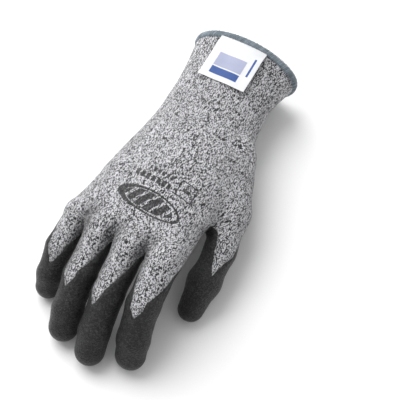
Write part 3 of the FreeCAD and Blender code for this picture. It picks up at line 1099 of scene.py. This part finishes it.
def build_hem(thread):
    """Overlock: a soft core round the cuff's edge, wrapped by slanting turns of thread."""
    centre_line = (HEM_AT - 0.2, -KNIT / 2)
    pts, out, along = cuff_ring(*centre_line, HEM_TURNS)
    angles = np.linspace(0, 2 * np.pi, 15)[:-1]
    paths = []
    for i in range(HEM_TURNS):
        wobble = 1 + 0.06 * math.sin(i * 2.4) + 0.03 * math.sin(i * 2.9)
        size = (HEM_LOOP[0] * wobble, HEM_LOOP[1] * wobble)
        paths.append(hem_loop(pts[i], out[i], along[i], size, angles))
    v, t = tube_mesh(paths, HEM_THREAD)
    scatter = np.modf(np.sin(np.arange(HEM_TURNS) * 12.9898) * 43758.5453)[0] % 1.0
    tint = np.repeat(scatter, len(v) // HEM_TURNS)
    wraps = make_mesh("hem_wraps", v, t, vertex_normals(v, t), floats={"tint": tint})
    angles = np.linspace(0, 2 * np.pi, 13)[:-1]
    loops = [hem_loop(q, o, np.zeros(3), HEM_CORE, angles) for q, o, _ in zip(*cuff_ring(*centre_line, 240))]
    v = np.concatenate(loops)
    t = tube_tris(len(loops), len(angles), True)
    core = make_mesh("hem_core", v, t, vertex_normals(v, t))
    for obj in (wraps, core):
        obj.data.materials.append(thread)
        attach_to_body(obj, "cuff")
    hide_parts("cuff_hem")


def label_point(x, t, lift=0.0):
    """A point of the label: x across from its middle, t down from the hem."""
    half = LABEL_WIDTH / 2
    distance = HEM_AT - 1.3 - t
    lateral = x + LABEL_MIDDLE
    middle, a, top = (np.interp(-distance, fine, k) for k in TABLE[:3])
    crown = np.sqrt(np.clip(1 - ((lateral - middle) / a) ** 2, 0, 1)) * top
    sewn = smoothstep(0, 9, t)
    flat = top - 0.55 * sewn + 0.3
    stiff = 0.32 + 0.2 * sewn
    height = crown * (1 - stiff) + flat * stiff + 0.45
    right, left = smoothstep(0, 1, x / half), smoothstep(0, 1, -x / half)
    height = height + sewn * (0.5 + 1.3 * right + 0.5 * left * smoothstep(8, 30, t))
    height = height + 0.25 * np.sin(x * 0.35 + 0.6) * sewn
    back, side = np.multiply.outer(distance, CUFF[0]), np.multiply.outer(lateral, CUFF[1])
    return WRIST - back + side + np.multiply.outer(height + lift, CUFF[2])


def label_patch(name, across, down, counts, lift, thick, material, node):
    """A closed thin patch of the label, from counts points across and down, that stands for a CAD node."""
    nx, nt = counts
    x, t = np.meshgrid(np.linspace(*across, nx), np.linspace(*down, nt), indexing="ij")
    top = label_point(x.ravel(), t.ravel(), lift)
    low = label_point(x.ravel(), t.ravel(), lift - thick)
    n = nx * nt
    tris = []

    def at(i, j):
        return i * nt + j

    for i in range(nx - 1):
        for j in range(nt - 1):
            a, b, c, d = at(i, j), at(i + 1, j), at(i + 1, j + 1), at(i, j + 1)
            tris += [(a, c, b), (a, d, c), (a + n, b + n, c + n), (a + n, c + n, d + n)]
    rim = [at(i, 0) for i in range(nx)] + [at(nx - 1, j) for j in range(1, nt)]
    rim += [at(i, nt - 1) for i in range(nx - 2, -1, -1)] + [at(0, j) for j in range(nt - 2, 0, -1)]
    for a, b in zip(rim, rim[1:] + rim[:1]):
        tris += [(a, b, b + n), (a, b + n, a + n)]
    verts = np.concatenate([top, low])
    obj = make_mesh(name, verts, np.array(tris))
    obj.data.set_sharp_from_angle(angle=math.radians(50))
    obj.data.materials.append(material)
    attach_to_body(obj, "label")
    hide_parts(node)
    return obj


def build_seam(thread):
    """A row of stitches over the label's top edge, each a short arch of thread."""
    pitch, length, radius = 2.0, 1.2, 0.22
    lift, deep = 0.35, CUFF[2] * 0.7
    stitches = []
    for i in range(int(LABEL_WIDTH / pitch)):
        x = -LABEL_WIDTH / 2 + 1.0 + i * pitch
        a = label_point(np.array([x]), np.array([0.1]), lift)[0]
        b = label_point(np.array([x + length]), np.array([0.3]), lift)[0]
        middle = (a + b) / 2 + CUFF[2] * 0.25
        stitches.append(np.array([a - deep, a, middle, b, b - deep]))
    v, t = tube_mesh(stitches, radius, closed=False)
    seam = make_mesh("label_stitches", v, t, vertex_normals(v, t))
    seam.data.materials.append(thread)
    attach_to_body(seam, "cuff")
    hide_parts("label_seam")


def build_label(thread):
    """The woven label with its prints, and the stitches that hold it in the hem."""
    white = woven_material("label_satin", *SATIN)
    light = woven_material("print_lavender", *LAVENDER)
    dark = woven_material("print_blue", *BLUE)
    half = LABEL_WIDTH / 2
    tape = label_patch(
        "label_tape_cloth", (-half, half), (LABEL_TOP, LABEL_LENGTH), (36, 32), 0.0, LABEL_THICK,
        white, "label_tape",
    )
    prints = [
        label_patch(name, across, down, counts, PRINT_LIFT, PRINT_THICK, material, node)
        for name, across, down, counts, material, slot, node in (
            ("label_print_panel", (-11.1, 8.9), (13, 23.5), (22, 12), light, "print_light", "label_panel"),
            ("label_print_band", (-11.1, 8.9), (24.5, 30), (22, 7), dark, "print_dark", "label_band"),
            ("label_print_stripe", (12.5, 13.9), (8.5, 23), (3, 20), dark, "print_dark", "label_stripe"),
        )
    ]
    build_seam(thread)


# ---- stage
def build_floor():
    m = Nodes("studio_floor")
    grain = m.noise(m.place(), 3.0)
    m.link(m.ramp(grain, [(0.3, 0.90), (0.7, 0.93)]), m.shader.inputs["Base Color"])
    half = 3000.0
    v = np.array([(-half, -half, 0), (half, -half, 0), (half, half, 0), (-half, half, 0)])
    floor = make_mesh("studio_floor", v, np.array([(0, 1, 2), (0, 2, 3)]))
    floor.data.materials.append(m.finish(rough=0.8))


def build_light():
    """An even white surround and one large soft light from the back left."""
    world = bpy.data.worlds.new("studio")
    bpy.context.scene.world = world
    world.use_nodes = True
    background = world.node_tree.nodes["Background"]
    background.inputs[0].default_value = (1, 1, 1, 1)
    background.inputs[1].default_value = WORLD_STRENGTH
    light = bpy.data.lights.new("softbox", "AREA")
    light.shape = "DISK"
    light.size = SOFTBOX_SIZE
    light.energy = SOFTBOX_POWER
    obj = add_object("softbox", light)
    obj.location = SOFTBOX_PLACE
    obj.rotation_mode = "QUATERNION"
    aim = Vector(SOFTBOX_TARGET) - Vector(SOFTBOX_PLACE)
    obj.rotation_quaternion = aim.to_track_quat("-Z", "Y")


def build_camera():
    target = Vector(((WRIST + CAMERA_TARGET) * MM).tolist())
    flat = math.cos(ELEVATION)
    back = Vector((math.sin(AZIMUTH) * flat, -math.cos(AZIMUTH) * flat, math.sin(ELEVATION)))
    right = Vector((math.cos(AZIMUTH), math.sin(AZIMUTH), 0))
    up = back.cross(right)
    x = right * math.cos(ROLL) + up * math.sin(ROLL)
    y = -right * math.sin(ROLL) + up * math.cos(ROLL)
    data = bpy.data.cameras.new("camera")
    data.lens, data.sensor_width = LENS, SENSOR
    data.clip_start, data.clip_end = 0.05, 20.0
    cam = add_object("camera", data)
    turn = Matrix((x, y, back)).transposed()
    cam.matrix_world = Matrix.Translation(target + back * CAMERA_DISTANCE) @ turn.to_4x4()
    bpy.context.scene.camera = cam


def main():
    thread = thread_material()
    attach(build_glove(knit_material(), coating_material()))
    build_hem(thread)
    build_label(thread)
    build_floor()
    build_light()
    build_camera()
    bpy.context.scene.view_settings.view_transform = "Standard"


main()
